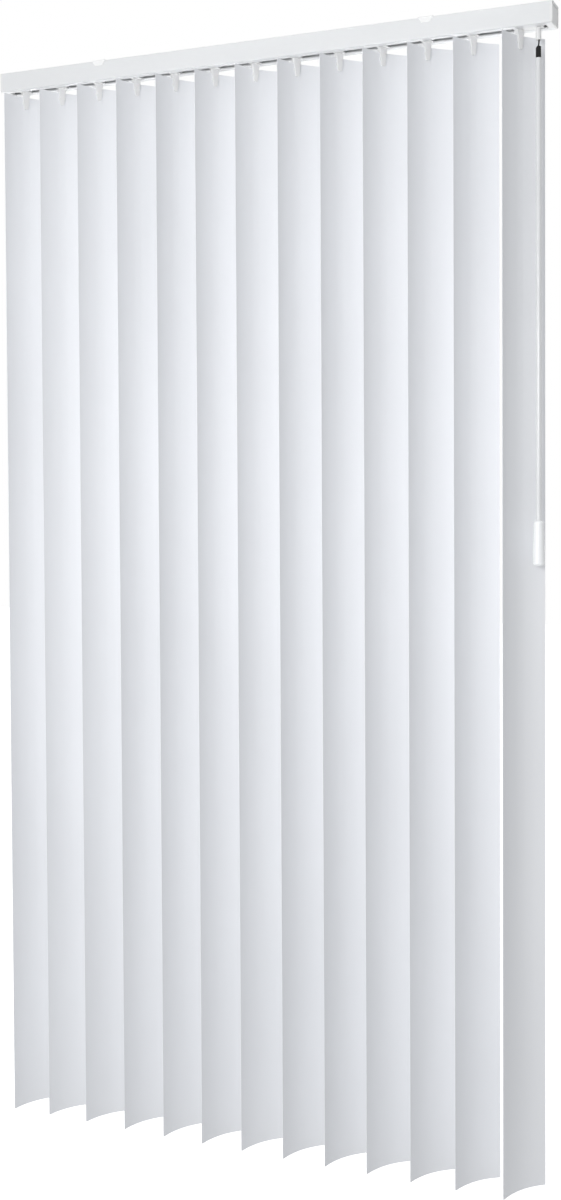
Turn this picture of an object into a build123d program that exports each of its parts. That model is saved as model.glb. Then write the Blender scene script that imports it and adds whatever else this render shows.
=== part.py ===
from build123d import *
from math import asin, cos, degrees, radians, sin
import os

# Vertical blind: a slotted headrail hangs from two ceiling clips and holds a row of
# carriers, each with a stem and a curved vane, worked by a splined rod and a wand.
# Millimetres. X runs along the rail, the room is at -Y, Z is up.
# The origin is on the ceiling face, over the middle of the rail.

os.makedirs("parts", exist_ok=True)

# Row of vanes
vane_count = 13
vane_pitch = 76.0
first_vane_inset = 36.0
last_vane_inset = 52.0
open_angle = 55.0
settled_turn = (2.5, -2.5, -1.5, 2.5, 4.5, 2, 0, 1.5, 1, -2.5, -3.5, -4, 0.5)

# Vane
vane_chord = 86.5
vane_sagitta = 9.3
vane_thickness = 0.8
vane_length = 1810.0
vane_corner = 1.5
vane_drop = 8.5
punch_width = 12.0
punch_height = 5.0
punch_depth = 10.0

# Headrail section
rail_depth = 38.5
rail_height = 33.0
rail_wall = 1.2
rail_lip = 1.4
face_recess = 0.5
bead_height = 4.0
bead_radius = 2.6
top_radius = 0.8
slot_width = 15.0
track_width = 1.2
track_height = 1.0
trough_width = 14.0
trough_depth = 2.0
port_radius = 1.3
port_wall = 1.1
port_sink = 0.3

# Ceiling clips
clip_thickness = 1.2
clip_spacing = 600.0
clip_width = 24.0
clip_tip_width = 14.0
clip_lip = 8.0
clip_shoulder = 1.0
clip_hole_radius = 2.5

# End caps and their screws
cap_thickness = 5.0
cap_bottom_radius = 3.0
cap_rim = 4.0
cap_recess = 1.2
plug_depth = 8.0
plug_wall = 1.8
plug_rib = 1.6
fit_gap = 0.1
journal_radius = 3.0
journal_wall = 2.2
journal_play = 0.05
journal_end_gap = 0.5
screw_head_radius = 2.8
screw_head_height = 1.3
screw_length = 14.0
screw_play = 0.05

# Tilt rod
rod_radius = 3.5
rod_groove_radius = 0.9
rod_grooves = 3
rod_offset = 9.5
rod_height = 17.0
rod_bore_gap = 0.4

# Carrier
carrier_length = 17.0
keel_gap = 0.6
keel_rise = 0.4
keel_top = 4.0
waist_width = 23.2
waist_top = 11.4
shoulder_gap = 1.9
carrier_top = 25.4
carrier_round = 2.5
wheel_radius = 4.6
wheel_width = 3.6
wheel_gap = 0.6
wheel_rise = 0.1
axle_radius = 1.6

# Spacer link between neighbouring carriers
link_width = 8.0
link_thickness = 0.4
link_levels = 5
link_level_step = 0.8
link_reach = 2.0
link_root = 2.0
link_root_width = 13.0
link_corner = 2.0
window_width = 9.6
window_centre = -3.8
window_bottom = 14.8
window_height = 4.6

# Stem
stem_radius = 3.0
stem_play = 0.05
stem_flange_radius = 4.4
stem_flange_height = 2.0
stem_flange_seat = 7.0
chamber_gap = 0.15
head_gap = 0.6
head_width = 14.0
head_neck = 12.4
head_thickness = 6.0
shoulder_lift = 0.9
prong_gap = 0.3
tongue_thickness = 2.3
tongue_length = 21.5
tongue_root_width = 11.0
tongue_tip_width = 6.5
tongue_tip_radius = 2.6
back_prong_thickness = 1.5
back_prong_width = 9.0
back_prong_tip_width = 7.0
back_prong_length = 15.0
peg_height = 3.0
peg_width = 6.8
peg_gap = 0.1

# Wand drive on the leading carrier
wand_offset = 30.0
wand_depth = -1.0
drive_reach = 38.0
drive_top = 13.5
tower_width = 12.6
tower_centre = 9.3
tower_top = 23.0
spindle_radius = 2.5
spindle_flange_radius = 4.0
spindle_flange_height = 1.8
spindle_flange_seat = 6.5
spindle_stem_radius = 4.3
spindle_stem_length = 18.5
fork_slot = 3.0
fork_height = 5.0
fork_pin_radius = 1.05
fork_pin_height = 2.6
fork_pin_hold = 1.0

# Wand
hook_thickness = 2.4
hook_eye_radius = 2.3
hook_mouth = 1.5
hook_neck_width = 1.8
hook_neck_length = 12.4
hook_cap_length = 17.5
hook_cap_radius = 4.2
hook_cap_slope = 3.4
spigot_length = 14.0
tube_radius = 4.4
tube_wall = 1.0
tube_length = 776.0
tube_play = 0.05
grip_length = 69.0
grip_top_radius = 7.6
grip_bottom_radius = 9.6
grip_shoulder = 2.5
grip_bevel = 1.6
grip_floor = 6.0

# Derived places
rail_length = first_vane_inset + (vane_count - 1) * vane_pitch + last_vane_inset
rail_left = -rail_length / 2
rail_right = rail_length / 2
rail_top = -clip_thickness
rail_bottom = rail_top - rail_height
body_depth = rail_depth - 2 * face_recess
channel_width = body_depth - 2 * rail_wall
channel_top = rail_height - rail_wall
port_outer = port_radius + port_wall
port_y = channel_width / 2 - port_outer + port_sink
port_z = channel_top - port_outer + port_sink
vane_radius = (vane_chord ** 2 / 4 + vane_sagitta ** 2) / (2 * vane_sagitta)
vane_half_angle = degrees(asin(vane_chord / 2 / vane_radius))
lead_x = rail_right - last_vane_inset
wand_x = lead_x + wand_offset
fork_floor = -head_gap - spindle_stem_length
fork_pin_z = fork_floor + fork_pin_height
wand_plane = Plane(origin=(wand_x, wand_depth, rail_bottom), x_dir=(1, 0, 0), z_dir=(0, -1, 0))


def pivot_x(index):
    return rail_left + first_vane_inset + index * vane_pitch


def vane_angle(index):
    return open_angle + settled_turn[index % len(settled_turn)]


def cross_section_plane(x):
    """Plane across the rail at x: local x is Y, local y is the height over the underside."""
    return Plane(origin=(x, 0, rail_bottom), x_dir=(0, 1, 0), z_dir=(1, 0, 0))


def level_plane(x, y, height, angle=0):
    """Horizontal plane at a height over the rail's underside, turned about Z."""
    turn = (cos(radians(angle)), sin(radians(angle)), 0)
    return Plane(origin=(x, y, rail_bottom + height), x_dir=turn, z_dir=(0, 0, 1))


def vane_face_plane(index, offset):
    """Upright plane along a vane's chord, offset mm towards the room from its pivot."""
    angle = radians(vane_angle(index))
    toward_room = Vector(sin(angle), -cos(angle), 0)
    origin = Vector(pivot_x(index), 0, rail_bottom) + toward_room * offset
    return Plane(origin=origin, x_dir=(cos(angle), sin(angle), 0), z_dir=toward_room)


def finish(builder, name):
    builder.part.label = name
    export_step(builder.part, f"parts/{name}.step")


# Headrail: one aluminium extrusion with a slot below, two tracks for the carriers' wheels,
# a trough along the top for the heads of the ceiling screws, and two screw ports.
with BuildPart() as headrail:
    with BuildSketch(cross_section_plane(rail_left)):
        with Locations((0, rail_height / 2)):
            Rectangle(body_depth, rail_height)
        with Locations((0, bead_height / 2)):
            Rectangle(rail_depth, bead_height)
        fillet(vertices().group_by(Axis.Y)[0], bead_radius)
        fillet(vertices().group_by(Axis.Y)[-1], top_radius)
        with Locations((0, (rail_lip + channel_top) / 2)):
            Rectangle(channel_width, channel_top - rail_lip, mode=Mode.SUBTRACT)
        with Locations((0, rail_lip / 2)):
            Rectangle(slot_width, 2 * rail_lip, mode=Mode.SUBTRACT)
        with Locations((0, channel_top - trough_depth / 2)):
            Rectangle(trough_width + 2 * rail_wall, trough_depth)
        with Locations((0, rail_height - trough_depth / 2)):
            Rectangle(trough_width, trough_depth, mode=Mode.SUBTRACT)
        track_y = (slot_width + track_width) / 2
        with Locations((-track_y, rail_lip + track_height / 2), (track_y, rail_lip + track_height / 2)):
            Rectangle(track_width, track_height)
        with Locations((-port_y, port_z), (port_y, port_z)):
            Circle(port_outer)
        with Locations((-port_y, port_z), (port_y, port_z)):
            Circle(port_radius, mode=Mode.SUBTRACT)
    extrude(amount=rail_length)
finish(headrail, "headrail")

# Ceiling clips: spring steel bent over the rail, with tapered lips down both faces.
with BuildPart() as ceiling_clips:
    clip_outer = body_depth + 2 * clip_thickness
    for clip_x in (-clip_spacing / 2, clip_spacing / 2):
        with BuildSketch(Plane(origin=(clip_x, 0, 0), x_dir=(0, 1, 0), z_dir=(1, 0, 0))):
            with Locations((0, -(clip_thickness + clip_lip) / 2)):
                Rectangle(clip_outer, clip_thickness + clip_lip)
            fillet(vertices().group_by(Axis.Y)[-1], clip_thickness)
            with Locations((0, -clip_thickness - clip_lip / 2)):
                Rectangle(body_depth, clip_lip, mode=Mode.SUBTRACT)
        extrude(amount=clip_width / 2, both=True)
        taper = (clip_width - clip_tip_width) / 2
        with BuildSketch(Plane(origin=(clip_x, 0, 0), x_dir=(1, 0, 0), z_dir=(0, -1, 0))):
            for side in (-1, 1):
                with BuildLine():
                    Polyline(
                        (side * clip_width / 2, -clip_thickness - clip_shoulder),
                        (side * clip_width / 2, -clip_thickness - clip_lip),
                        (side * (clip_width / 2 - taper), -clip_thickness - clip_lip),
                        close=True,
                    )
                make_face()
        extrude(amount=clip_outer, both=True, mode=Mode.SUBTRACT)
        with Locations((clip_x, 0, -clip_thickness / 2)):
            Hole(clip_hole_radius, clip_thickness)
finish(ceiling_clips, "ceiling_clips")


def make_end_cap(side):
    """Moulded cap: outer plate with a sunk face, plug in the rail, bearing for the rod."""
    face_x = rail_right * side
    outward = Vector(side, 0, 0)

    def cap_plane(out):
        origin = Vector(face_x, 0, rail_bottom) + outward * out
        return Plane(origin=origin, x_dir=(0, 1, 0), z_dir=(1, 0, 0))

    def reach(amount):
        return amount * side

    with BuildPart() as cap:
        with BuildSketch(cap_plane(0)):
            with Locations((0, rail_height / 2)):
                Rectangle(body_depth, rail_height)
            with Locations((0, bead_height / 2)):
                Rectangle(rail_depth, bead_height)
            fillet(vertices().group_by(Axis.Y)[0], bead_radius)
            fillet(vertices().group_by(Axis.Y)[-1], top_radius)
        extrude(amount=reach(cap_thickness))
        outer_face = cap.faces().sort_by(Axis.X)[-1 if side > 0 else 0]
        fillet(outer_face.edges().sort_by(Axis.Z)[0], cap_bottom_radius)
        with BuildSketch(cap_plane(cap_thickness)):
            with Locations((0, rail_height / 2)):
                RectangleRounded(rail_depth - 2 * cap_rim, rail_height - 2 * cap_rim, cap_rim / 2)
        extrude(amount=reach(-cap_recess), mode=Mode.SUBTRACT)
        plug_height = port_z - port_outer - fit_gap - rail_lip - fit_gap
        plug_z = rail_lip + fit_gap + plug_height / 2
        with BuildSketch(cap_plane(0)):
            with Locations((0, plug_z)):
                Rectangle(channel_width - 2 * fit_gap, plug_height)
            with Locations((0, plug_z)):
                Rectangle(channel_width - 2 * fit_gap - 2 * plug_wall, plug_height - 2 * plug_wall,
                          mode=Mode.SUBTRACT)
            with Locations((0, plug_z)):
                Rectangle(plug_rib, plug_height)
            with Locations((0, rod_height)):
                Rectangle(channel_width - 2 * fit_gap, plug_rib)
            with Locations((rod_offset, rod_height)):
                Circle(journal_radius + journal_wall)
            notch = slot_width + 2 * track_width + 2 * fit_gap
            with Locations((0, rail_lip + track_height / 2)):
                Rectangle(notch, track_height + 2 * fit_gap, mode=Mode.SUBTRACT)
        extrude(amount=reach(-plug_depth))
        with BuildSketch(cap_plane(0)):
            with Locations((0, keel_top / 2)):
                Rectangle(slot_width - 2 * fit_gap, keel_top)
        extrude(amount=reach(-plug_depth))
        with BuildSketch(cap_plane(-plug_depth)):
            with Locations((rod_offset, rod_height)):
                Circle(journal_radius + journal_play)
        extrude(amount=reach(plug_depth + cap_thickness / 2 - cap_recess), mode=Mode.SUBTRACT)
        with BuildSketch(cap_plane(cap_thickness)):
            with Locations((-port_y, port_z), (port_y, port_z)):
                Circle(port_radius + screw_play)
        extrude(amount=reach(-cap_thickness), mode=Mode.SUBTRACT)
        with BuildSketch(cap_plane(cap_thickness)):
            with Locations((-port_y, port_z), (port_y, port_z)):
                Circle(screw_head_radius + fit_gap)
        extrude(amount=reach(-cap_recess - screw_head_height), mode=Mode.SUBTRACT)
    return cap


finish(make_end_cap(-1), "end_cap_left")
finish(make_end_cap(1), "end_cap_right")

# End cap screws: pan heads sunk in the caps, shanks in the rail's ports.
with BuildPart() as end_cap_screws:
    for side in (-1, 1):
        head_seat = side * (rail_right + cap_thickness - cap_recess - screw_head_height)
        with BuildSketch(cross_section_plane(head_seat)):
            with Locations((-port_y, port_z), (port_y, port_z)):
                Circle(screw_head_radius)
        extrude(amount=side * screw_head_height)
        with BuildSketch(cross_section_plane(head_seat)):
            with Locations((-port_y, port_z), (port_y, port_z)):
                Circle(port_radius - screw_play)
        extrude(amount=-side * screw_length)
finish(end_cap_screws, "end_cap_screws")

# Tilt rod: a grooved bar along the whole rail, with a plain journal at each end.
with BuildPart() as tilt_rod:
    grooved_half = rail_length / 2 - plug_depth - journal_end_gap
    with BuildSketch(cross_section_plane(0)):
        with Locations((rod_offset, rod_height)):
            Circle(rod_radius)
            with PolarLocations(rod_radius, rod_grooves, start_angle=90):
                Circle(rod_groove_radius, mode=Mode.SUBTRACT)
    extrude(amount=grooved_half, both=True)
    journal_half = rail_length / 2 + cap_thickness / 2 - cap_recess - journal_end_gap
    for side in (-1, 1):
        with BuildSketch(cross_section_plane(side * grooved_half)):
            with Locations((rod_offset, rod_height)):
                Circle(journal_radius)
        extrude(amount=side * (journal_half - grooved_half))
finish(tilt_rod, "tilt_rod")


def carrier_outline():
    """Half-width and height steps of a carrier, from the keel in the slot to the shoulders."""
    with BuildSketch(mode=Mode.PRIVATE) as outline:
        with Locations((0, (keel_rise + keel_top) / 2)):
            Rectangle(slot_width - 2 * keel_gap, keel_top - keel_rise)
        with Locations((0, (keel_top + waist_top) / 2)):
            Rectangle(waist_width, waist_top - keel_top)
        with Locations((0, (waist_top + carrier_top) / 2)):
            Rectangle(channel_width - 2 * shoulder_gap, carrier_top - waist_top)
        fillet(outline.vertices().group_by(Axis.Y)[-1], carrier_round)
    return outline.sketch


def make_carrier(index):
    """Moulded carrier: wheels on the tracks, bores for stem and rod, link to the next one."""
    x = pivot_x(index)
    wheel_z = rail_lip + wheel_rise + wheel_radius
    wheel_y = waist_width / 2 + wheel_gap
    with BuildPart() as carrier:
        with BuildSketch(cross_section_plane(x)):
            add(carrier_outline())
        extrude(amount=carrier_length / 2, both=True)
        with BuildSketch(cross_section_plane(x)):
            with Locations((window_centre, window_bottom + window_height / 2)):
                Rectangle(window_width, window_height)
            with Locations((rod_offset, rod_height)):
                Circle(rod_radius + rod_bore_gap)
        extrude(amount=carrier_length, both=True, mode=Mode.SUBTRACT)
        with BuildSketch(level_plane(x, 0, 0)):
            Circle(stem_radius + stem_play)
        extrude(amount=stem_flange_seat, mode=Mode.SUBTRACT)
        with BuildSketch(level_plane(x, 0, stem_flange_seat)):
            Circle(stem_flange_radius + chamber_gap)
        extrude(amount=stem_flange_height + 2 * chamber_gap, mode=Mode.SUBTRACT)
        for side in (-1, 1):
            inner = Plane(
                origin=(x, side * waist_width / 2, rail_bottom + wheel_z),
                x_dir=(1, 0, 0),
                z_dir=(0, side, 0),
            )
            with BuildSketch(inner):
                Circle(axle_radius)
            extrude(amount=wheel_gap)
            with BuildSketch(inner.offset(wheel_gap)):
                Circle(wheel_radius)
            extrude(amount=wheel_width)
        if index < vane_count - 1:
            level = window_bottom + link_level_step * (index % link_levels + 0.5)
            link_start = x + carrier_length / 2 - link_root
            link_end = x + vane_pitch + carrier_length / 2 + link_reach
            with BuildSketch(level_plane(0, 0, level)):
                with Locations(((link_start + link_end) / 2, window_centre)):
                    RectangleRounded(link_end - link_start, link_width, link_corner)
                with Locations((link_start + link_root / 2, window_centre)):
                    Rectangle(link_root, link_root_width)
            extrude(amount=link_thickness)
    return carrier


for index in range(vane_count):
    finish(make_carrier(index), f"carrier_{index + 1:02d}")


def make_vane(index):
    """Extruded plastic vane: a shallow arc in section, with a punched hole at the top."""
    with BuildPart() as vane:
        with BuildSketch(level_plane(pivot_x(index), 0, -vane_drop, vane_angle(index))):
            with BuildLine():
                start = 90 - vane_half_angle
                middle = (0, -vane_radius)
                back = CenterArc(middle, vane_radius + vane_thickness / 2, start, 2 * vane_half_angle)
                front = CenterArc(middle, vane_radius - vane_thickness / 2, start, 2 * vane_half_angle)
                Line(back @ 0, front @ 0)
                Line(back @ 1, front @ 1)
            make_face()
        extrude(amount=-vane_length)
        corners = vane.edges().filter_by(lambda edge: edge.length < 2 * vane_thickness)
        fillet(corners, vane_corner)
        with BuildSketch(vane_face_plane(index, 0)):
            with Locations((0, -vane_drop - punch_depth)):
                SlotOverall(punch_width, punch_height)
        extrude(amount=2 * vane_thickness, both=True, mode=Mode.SUBTRACT)
    return vane


def make_stem(index):
    """Stem: flanged shaft in the carrier, wide head, and two prongs that hold the vane."""
    x = pivot_x(index)
    angle = vane_angle(index)
    shoulder_z = -vane_drop + shoulder_lift
    peg_top = -vane_drop - punch_depth + punch_height / 2
    prong_face = vane_thickness / 2 + prong_gap
    with BuildPart() as stem:
        with BuildSketch(level_plane(x, 0, -head_gap, angle)):
            Circle(stem_radius)
        extrude(amount=head_gap + stem_flange_seat + stem_play)
        with BuildSketch(level_plane(x, 0, stem_flange_seat + stem_play, angle)):
            Circle(stem_flange_radius)
        extrude(amount=stem_flange_height)
        with BuildSketch(vane_face_plane(index, 0)):
            with BuildLine():
                Polyline(
                    (-head_width / 2, -head_gap),
                    (head_width / 2, -head_gap),
                    (head_neck / 2, shoulder_z),
                    (-head_neck / 2, shoulder_z),
                    close=True,
                )
            make_face()
        extrude(amount=head_thickness / 2, both=True)
        with BuildSketch(vane_face_plane(index, prong_face)):
            with BuildLine():
                Polyline(
                    (-tongue_root_width / 2, shoulder_z),
                    (tongue_root_width / 2, shoulder_z),
                    (tongue_tip_width / 2, -vane_drop - tongue_length),
                    (-tongue_tip_width / 2, -vane_drop - tongue_length),
                    close=True,
                )
            make_face()
            fillet(vertices().group_by(Axis.Y)[0], tongue_tip_radius)
        extrude(amount=tongue_thickness)
        with BuildSketch(vane_face_plane(index, -prong_face)):
            with BuildLine():
                Polyline(
                    (-back_prong_width / 2, shoulder_z),
                    (back_prong_width / 2, shoulder_z),
                    (back_prong_tip_width / 2, -vane_drop - back_prong_length),
                    (-back_prong_tip_width / 2, -vane_drop - back_prong_length),
                    close=True,
                )
            make_face()
        extrude(amount=-back_prong_thickness)
        with BuildSketch(vane_face_plane(index, -prong_face)):
            with Locations((0, peg_top - peg_height / 2)):
                Rectangle(peg_width, peg_height)
        extrude(amount=2 * prong_face - peg_gap)
    return stem


for index in range(vane_count):
    finish(make_vane(index), f"vane_{index + 1:02d}")
    finish(make_stem(index), f"stem_{index + 1:02d}")

# Wand drive housing: clipped to the leading carrier, it carries the spindle in the slot
# and a tower round the rod, and leaves the way over it open for the links.
with BuildPart() as wand_drive_housing:
    drive_length = drive_reach - carrier_length / 2
    with BuildSketch(cross_section_plane(lead_x + carrier_length / 2)):
        with Locations((0, (keel_rise + keel_top) / 2)):
            Rectangle(slot_width - 2 * keel_gap, keel_top - keel_rise)
        with Locations((0, (keel_top + drive_top) / 2)):
            Rectangle(waist_width, drive_top - keel_top)
        with Locations((tower_centre, (waist_top + tower_top) / 2)):
            Rectangle(tower_width, tower_top - waist_top)
        fillet(vertices().group_by(Axis.Y)[-1], carrier_round)
        with Locations((rod_offset, rod_height)):
            Circle(rod_radius + rod_bore_gap, mode=Mode.SUBTRACT)
    extrude(amount=drive_length)
    with BuildSketch(level_plane(wand_x, wand_depth, 0)):
        Circle(spindle_radius + stem_play)
    extrude(amount=spindle_flange_seat, mode=Mode.SUBTRACT)
    with BuildSketch(level_plane(wand_x, wand_depth, spindle_flange_seat)):
        Circle(spindle_flange_radius + chamber_gap)
    extrude(amount=spindle_flange_height + 2 * chamber_gap, mode=Mode.SUBTRACT)
finish(wand_drive_housing, "wand_drive_housing")

# Wand spindle: flanged shaft in the housing, round stem below, forked end with a cross pin.
with BuildPart() as wand_spindle:
    with BuildSketch(level_plane(wand_x, wand_depth, -head_gap)):
        Circle(spindle_radius)
    extrude(amount=head_gap + spindle_flange_seat + stem_play)
    with BuildSketch(level_plane(wand_x, wand_depth, spindle_flange_seat + stem_play)):
        Circle(spindle_flange_radius)
    extrude(amount=spindle_flange_height)
    with BuildSketch(level_plane(wand_x, wand_depth, -head_gap)):
        Circle(spindle_stem_radius)
    extrude(amount=-spindle_stem_length)
    with BuildSketch(level_plane(wand_x, wand_depth, fork_floor)):
        Rectangle(2 * spindle_stem_radius, fork_slot)
    extrude(amount=fork_height, mode=Mode.SUBTRACT)
    with BuildSketch(wand_plane):
        with Locations((0, fork_pin_z)):
            Circle(fork_pin_radius)
    extrude(amount=fork_slot / 2 + fork_pin_hold, both=True)
finish(wand_spindle, "wand_spindle")

# Wand hook: an open eye on the spindle's pin, a thin neck that slants from the eye's side to
# the middle of a cap, and a spigot that plugs the tube. The cap slopes away from the neck.
cap_top = fork_pin_z - hook_neck_length
with BuildPart() as wand_hook:
    with BuildSketch(level_plane(wand_x, wand_depth, cap_top)):
        Circle(hook_cap_radius)
    extrude(amount=-hook_cap_length)
    with BuildSketch(wand_plane):
        with BuildLine():
            Polyline(
                (-hook_neck_width / 2, cap_top),
                (-hook_cap_radius, cap_top - hook_cap_slope),
                (-hook_cap_radius, cap_top),
                close=True,
            )
        make_face()
    extrude(amount=hook_cap_radius, both=True, mode=Mode.SUBTRACT)
    with BuildSketch(level_plane(wand_x, wand_depth, cap_top - hook_cap_length)):
        Circle(tube_radius - tube_wall - tube_play)
    extrude(amount=-spigot_length)
    with BuildSketch(wand_plane):
        with Locations((0, fork_pin_z)):
            Circle(hook_eye_radius)
        with BuildLine():
            Polyline(
                (hook_eye_radius - hook_neck_width, fork_pin_z),
                (hook_eye_radius, fork_pin_z),
                (hook_neck_width / 2, cap_top),
                (-hook_neck_width / 2, cap_top),
                close=True,
            )
        make_face()
        with Locations((0, fork_pin_z)):
            Circle(fork_pin_radius + tube_play, mode=Mode.SUBTRACT)
        with Locations((-hook_eye_radius, fork_pin_z - hook_mouth / 2)):
            Rectangle(2 * hook_eye_radius, hook_mouth, mode=Mode.SUBTRACT)
    extrude(amount=hook_thickness / 2, both=True)
finish(wand_hook, "wand_hook")

# Wand tube: a plain tube from the cap down into the grip.
tube_top = cap_top - hook_cap_length
with BuildPart() as wand_tube:
    with BuildSketch(level_plane(wand_x, wand_depth, tube_top)):
        Circle(tube_radius)
        Circle(tube_radius - tube_wall, mode=Mode.SUBTRACT)
    extrude(amount=-tube_length)
finish(wand_tube, "wand_tube")

# Wand grip: a flared sleeve with bevelled ends, pushed on the tube's end.
with BuildPart() as wand_grip:
    grip_bottom = tube_top - tube_length - grip_floor
    grip_top = grip_bottom + grip_length
    bore = tube_radius + tube_play
    with BuildSketch(wand_plane):
        with BuildLine():
            Polyline(
                (0, grip_bottom),
                (grip_bottom_radius - grip_bevel, grip_bottom),
                (grip_bottom_radius, grip_bottom + grip_bevel),
                (grip_top_radius, grip_top - grip_shoulder),
                (bore + grip_bevel, grip_top),
                (bore, grip_top),
                (bore, tube_top - tube_length),
                (0, tube_top - tube_length),
                close=True,
            )
        make_face()
    revolve(axis=Axis((wand_x, wand_depth, 0), (0, 0, 1)))
finish(wand_grip, "wand_grip")
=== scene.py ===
import math

import bmesh
import bpy
from mathutils import Matrix, Vector

# White vertical blind on a ceiling headrail, seen from the room and a little from the right.
# Metres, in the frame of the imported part: X along the rail, the room at -Y, Z up.
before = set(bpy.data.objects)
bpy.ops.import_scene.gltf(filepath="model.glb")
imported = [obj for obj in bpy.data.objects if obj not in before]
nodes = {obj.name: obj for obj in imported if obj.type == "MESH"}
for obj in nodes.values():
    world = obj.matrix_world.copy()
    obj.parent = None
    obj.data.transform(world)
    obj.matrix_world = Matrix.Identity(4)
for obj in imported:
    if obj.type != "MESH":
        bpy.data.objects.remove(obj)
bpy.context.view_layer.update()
scene = bpy.context.scene

VANE_COUNT = 13

# Depths of the surface relief, in metres
MOULD_GRAIN = 0.00001
DRAW_LINES = 0.000008
ORANGE_PEEL = 0.00002
METAL_LINES = 0.00001

# Where a noise starts and ends its change from the low to the high tone
TONE_STARTS = 0.3
TONE_ENDS = 0.7


def linear(shade):
    """Linear value of a display shade from 0 to 1."""
    return ((shade + 0.055) / 1.055) ** 2.4 if shade > 0.04045 else shade / 12.92


def tone(red, green, blue):
    return (linear(red), linear(green), linear(blue), 1.0)


def grey(shade):
    return tone(shade, shade, shade)


class Finish:
    """A material and short ways to add the nodes of its surface."""

    def __init__(self, name):
        self.material = bpy.data.materials.new(name)
        self.material.use_nodes = True
        self.tree = self.material.node_tree
        self.shader = self.tree.nodes["Principled BSDF"]
        self.place = self.add("ShaderNodeTexCoord").outputs["Object"]

    def add(self, kind, **settings):
        node = self.tree.nodes.new(kind)
        for key, value in settings.items():
            setattr(node, key, value)
        return node

    def link(self, source, target):
        self.tree.links.new(source, target)

    def noise(self, scale, stretch=(1, 1, 1), detail=3.0):
        mapping = self.add("ShaderNodeMapping")
        mapping.inputs["Scale"].default_value = stretch
        self.link(self.place, mapping.inputs["Vector"])
        node = self.add("ShaderNodeTexNoise")
        node.inputs["Scale"].default_value = scale
        node.inputs["Detail"].default_value = detail
        self.link(mapping.outputs["Vector"], node.inputs["Vector"])
        return node.outputs["Fac"]

    def colour(self, source, low, high):
        """Colour between two tones, by a source from 0 to 1."""
        ramp = self.add("ShaderNodeValToRGB")
        start, end = ramp.color_ramp.elements
        start.position, start.color = TONE_STARTS, low
        end.position, end.color = TONE_ENDS, high
        self.link(source, ramp.inputs["Fac"])
        self.link(ramp.outputs["Color"], self.shader.inputs["Base Color"])

    def rough(self, source, low, high):
        spread = self.add("ShaderNodeMapRange")
        spread.inputs["To Min"].default_value = low
        spread.inputs["To Max"].default_value = high
        self.link(source, spread.inputs["Value"])
        self.link(spread.outputs["Result"], self.shader.inputs["Roughness"])

    def bump(self, source, depth):
        node = self.add("ShaderNodeBump")
        node.inputs["Distance"].default_value = depth
        self.link(source, node.inputs["Height"])
        self.link(node.outputs["Normal"], self.shader.inputs["Normal"])

    def set(self, **values):
        for key, value in values.items():
            self.shader.inputs[key.replace("_", " ")].default_value = value


def moulded(name, low, high, rough):
    """Moulded plastic: a faint drift of shade and gloss, and the fine grain of the mould."""
    look = Finish(name)
    look.colour(look.noise(scale=14.0), low, high)
    look.rough(look.noise(scale=60.0, detail=4.0), *rough)
    look.bump(look.noise(scale=900.0, detail=2.0), MOULD_GRAIN)
    return look


def extruded(name, low, high, rough):
    """Extruded plastic: upright draw lines, too fine to see from afar."""
    look = Finish(name)
    look.colour(look.noise(scale=9.0, stretch=(1.0, 1.0, 0.25)), low, high)
    look.rough(look.noise(scale=70.0, stretch=(1.0, 1.0, 0.05), detail=4.0), *rough)
    look.bump(look.noise(scale=700.0, stretch=(1.0, 1.0, 0.01)), DRAW_LINES)
    return look


def coated(name, low, high, rough):
    """Powder-coated metal: fine orange peel and a slow drift of shade along the rail."""
    look = Finish(name)
    look.colour(look.noise(scale=6.0, stretch=(0.6, 3.0, 3.0)), low, high)
    look.rough(look.noise(scale=90.0, detail=4.0), *rough)
    look.bump(look.noise(scale=1400.0, detail=2.0), ORANGE_PEEL)
    return look


def bare_metal(name, low, high, rough, stretch):
    """Bare metal with fine lines along the way it was drawn."""
    look = Finish(name)
    look.colour(look.noise(scale=240.0, stretch=stretch), low, high)
    look.rough(look.noise(scale=300.0, stretch=stretch, detail=5.0), *rough)
    look.bump(look.noise(scale=900.0, stretch=stretch), METAL_LINES)
    look.set(Metallic=1.0)
    return look


rail_coat = coated("rail_coat", tone(0.91, 0.915, 0.92), tone(0.925, 0.93, 0.935), (0.4, 0.5))
clip_coat = coated("clip_coat", grey(0.975), grey(0.99), (0.3, 0.4))
white_moulding = moulded("white_moulding", tone(0.92, 0.925, 0.925), grey(0.945), (0.4, 0.5))
stem_moulding = moulded("stem_moulding", grey(0.915), grey(0.94), (0.36, 0.46))
vane_plastic = extruded("vane_plastic", tone(0.925, 0.93, 0.942), tone(0.94, 0.945, 0.957),
                        (0.46, 0.54))
black_plastic = moulded("black_plastic", tone(0.05, 0.05, 0.052), tone(0.08, 0.08, 0.083),
                        (0.25, 0.35))
# The wand tube's tone is set greyer than the grip's: painted shade, standing in for the shade on
# its side turned away from the light.
tube_painted_shade = moulded("tube_painted_shade", tone(0.875, 0.88, 0.885), tone(0.895, 0.90, 0.905), (0.2, 0.28))
grip_white = moulded("grip_white", tone(0.955, 0.96, 0.965), tone(0.97, 0.975, 0.98), (0.2, 0.28))
screw_zinc = bare_metal("screw_zinc", tone(0.74, 0.74, 0.73), tone(0.84, 0.84, 0.83), (0.25, 0.4),
                        stretch=(1, 1, 1))
rod_metal = bare_metal("rod_metal", tone(0.82, 0.82, 0.83), tone(0.9, 0.9, 0.91), (0.28, 0.42),
                       stretch=(0.05, 1, 1))

for glossy in (tube_painted_shade, grip_white):
    glossy.set(Coat_Weight=0.3, Coat_Roughness=0.12)
black_plastic.set(Specular_IOR_Level=0.25)


def dress(finish, *names):
    for name in names:
        mesh = nodes[name].data
        mesh.materials.clear()
        mesh.materials.append(finish.material)


def numbered(kind):
    """Names of the nodes that repeat with each vane."""
    return [f"{kind}_{index + 1:02d}" for index in range(VANE_COUNT)]


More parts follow.
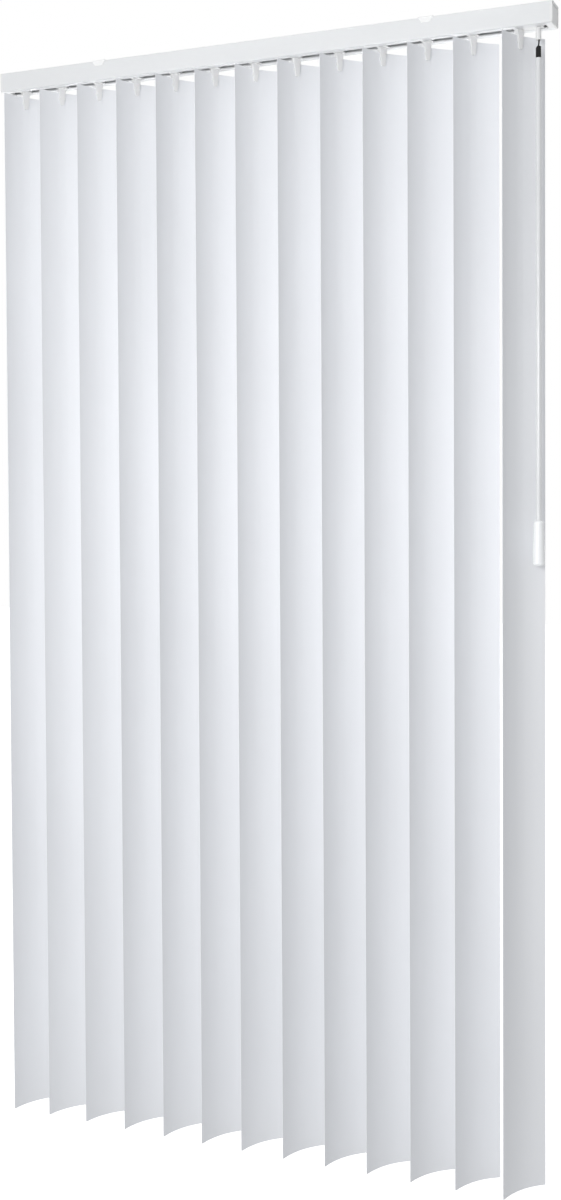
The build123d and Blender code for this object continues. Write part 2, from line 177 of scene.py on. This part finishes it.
dress(rail_coat, "headrail")
dress(clip_coat, "ceiling_clips")
dress(white_moulding, "end_cap_left", "end_cap_right", "wand_drive_housing", *numbered("carrier"))
dress(screw_zinc, "end_cap_screws")
dress(rod_metal, "tilt_rod")
dress(vane_plastic, *numbered("vane"))
dress(stem_moulding, "wand_spindle", *numbered("stem"))
dress(black_plastic, "wand_hook")
dress(tube_painted_shade, "wand_tube")
dress(grip_white, "wand_grip")


def seen_or_mirrored(tree):
    """1 for rays from the camera and for rays that a gloss or a clear body sends on."""
    path = tree.nodes.new("ShaderNodeLightPath")
    result = path.outputs["Is Camera Ray"]
    for ray in ("Is Glossy Ray", "Is Transmission Ray"):
        either = tree.nodes.new("ShaderNodeMath")
        either.operation = "MAXIMUM"
        tree.links.new(result, either.inputs[0])
        tree.links.new(path.outputs[ray], either.inputs[1])
        result = either.outputs["Value"]
    return result


# Floor of a room of ordinary height. Its own tone is a middle one, so that it sends little light
# back up to the vanes. It takes the blind's soft shadow, but its glow shows it white to the camera.
FLOOR_Z = -2.35
FLOOR_HALF = 14.0
FLOOR_GLOW = 0.9
floor_mesh = bpy.data.meshes.new("floor")
floor_bm = bmesh.new()
bmesh.ops.create_grid(floor_bm, x_segments=1, y_segments=1, size=FLOOR_HALF,
                      matrix=Matrix.Translation((0, 0, FLOOR_Z)))
floor_bm.to_mesh(floor_mesh)
floor_bm.free()
floor = bpy.data.objects.new("floor", floor_mesh)
scene.collection.objects.link(floor)
floor_look = Finish("floor_look")
floor_look.colour(floor_look.noise(scale=2.0), grey(0.74), grey(0.76))
floor_look.set(Roughness=0.9, Emission_Color=(1, 1, 1, 1))
glow = floor_look.add("ShaderNodeMath", operation="MULTIPLY")
glow.inputs[1].default_value = FLOOR_GLOW
floor_look.link(seen_or_mirrored(floor_look.tree), glow.inputs[0])
floor_look.link(glow.outputs["Value"], floor_look.shader.inputs["Emission Strength"])
floor_mesh.materials.append(floor_look.material)

# World: a dim even sky for the light, plain white behind the object.
SKY_STRENGTH = 0.6
SKY_COLOUR = (0.97, 0.985, 1.0, 1.0)
world = bpy.data.worlds.new("world")
scene.world = world
world.use_nodes = True
sky_tree = world.node_tree
sky_tree.nodes.clear()
sky = sky_tree.nodes.new("ShaderNodeBackground")
sky.inputs["Color"].default_value = SKY_COLOUR
sky.inputs["Strength"].default_value = SKY_STRENGTH
white = sky_tree.nodes.new("ShaderNodeBackground")
white.inputs["Color"].default_value = (1, 1, 1, 1)
white.inputs["Strength"].default_value = 1.0
mix = sky_tree.nodes.new("ShaderNodeMixShader")
world_out = sky_tree.nodes.new("ShaderNodeOutputWorld")
sky_tree.links.new(seen_or_mirrored(sky_tree), mix.inputs["Fac"])
sky_tree.links.new(sky.outputs["Background"], mix.inputs[1])
sky_tree.links.new(white.outputs["Background"], mix.inputs[2])
sky_tree.links.new(mix.outputs["Shader"], world_out.inputs["Surface"])


def area_light(name, place, target, size, power):
    """A rectangular studio light that the camera doesn't see; size in metres, power in watts."""
    lamp = bpy.data.lights.new(name, "AREA")
    lamp.shape = "RECTANGLE"
    lamp.size, lamp.size_y = size
    lamp.energy = power
    obj = bpy.data.objects.new(name, lamp)
    scene.collection.objects.link(obj)
    obj.location = place
    direction = Vector(target) - Vector(place)
    obj.rotation_euler = direction.to_track_quat("-Z", "Y").to_euler()
    obj.visible_camera = False
    return lamp


# Softboxes: name, place, side in metres and power in watts. All of them face the same point.
VANES_MIDDLE = (0.0, 0.0, -0.7)
SOFTBOXES = (
    ("main_softbox", (0.5, -2.5, -0.4), 0.4, 13.4),
    ("upper_softbox", (0.2, -2.5, -0.2), 0.4, 7.8),
    ("left_softbox", (-0.3, -2.0, -1.0), 0.6, 8.3),
    ("back_left_softbox", (-2.5, 2.5, -0.5), 1.2, 21.0),
    ("back_softbox", (-0.2, 2.6, -0.5), 1.2, 18.6),
)
for name, place, side, power in SOFTBOXES:
    area_light(name, place, VANES_MIDDLE, (side, side), power)

# A gridded strip light near the floor, aimed up past the vanes at the rail's underside.
STRIP_SPREAD_DEG = 24
rail_strip = area_light("rail_strip", place=(0.0, -0.4, -2.2), target=(0.0, 0.0, 0.0),
                        size=(1.1, 0.1), power=0.25)
rail_strip.spread = math.radians(STRIP_SPREAD_DEG)

# Camera, fitted to the photograph. Pixels are those of its 1200 rows.
FRAME_HEIGHT_PX = 1200
FOCAL_PX = 1381.8
OFF_AXIS_PX = (110.2, -72.7)
SENSOR_MM = 36.0
CAMERA_PLACE = (1.0344, -2.0866, -0.7477)
YAW, PITCH, ROLL = (math.radians(angle) for angle in (21.055, 1.476, -0.190))
CLIP_NEAR, CLIP_FAR = 0.05, 60.0
ahead = Vector((-math.sin(YAW), math.cos(YAW), 0.0))
sideways = Vector((math.cos(YAW), math.sin(YAW), 0.0))
upward = Vector((0.0, 0.0, 1.0))
looking = ahead * math.cos(PITCH) - upward * math.sin(PITCH)
upright = upward * math.cos(PITCH) + ahead * math.sin(PITCH)
camera_right = sideways * math.cos(ROLL) + upright * math.sin(ROLL)
camera_up = upright * math.cos(ROLL) - sideways * math.sin(ROLL)
camera_data = bpy.data.cameras.new("camera")
camera_data.sensor_width = SENSOR_MM
camera_data.lens = FOCAL_PX / FRAME_HEIGHT_PX * SENSOR_MM
camera_data.shift_x = -OFF_AXIS_PX[0] / FRAME_HEIGHT_PX
camera_data.shift_y = OFF_AXIS_PX[1] / FRAME_HEIGHT_PX
camera_data.clip_start = CLIP_NEAR
camera_data.clip_end = CLIP_FAR
camera = bpy.data.objects.new("camera", camera_data)
scene.collection.objects.link(camera)
turn = Matrix((camera_right, camera_up, -looking)).transposed()
camera.matrix_world = Matrix.Translation(CAMERA_PLACE) @ turn.to_4x4()
scene.camera = camera

scene.view_settings.view_transform = "Standard"
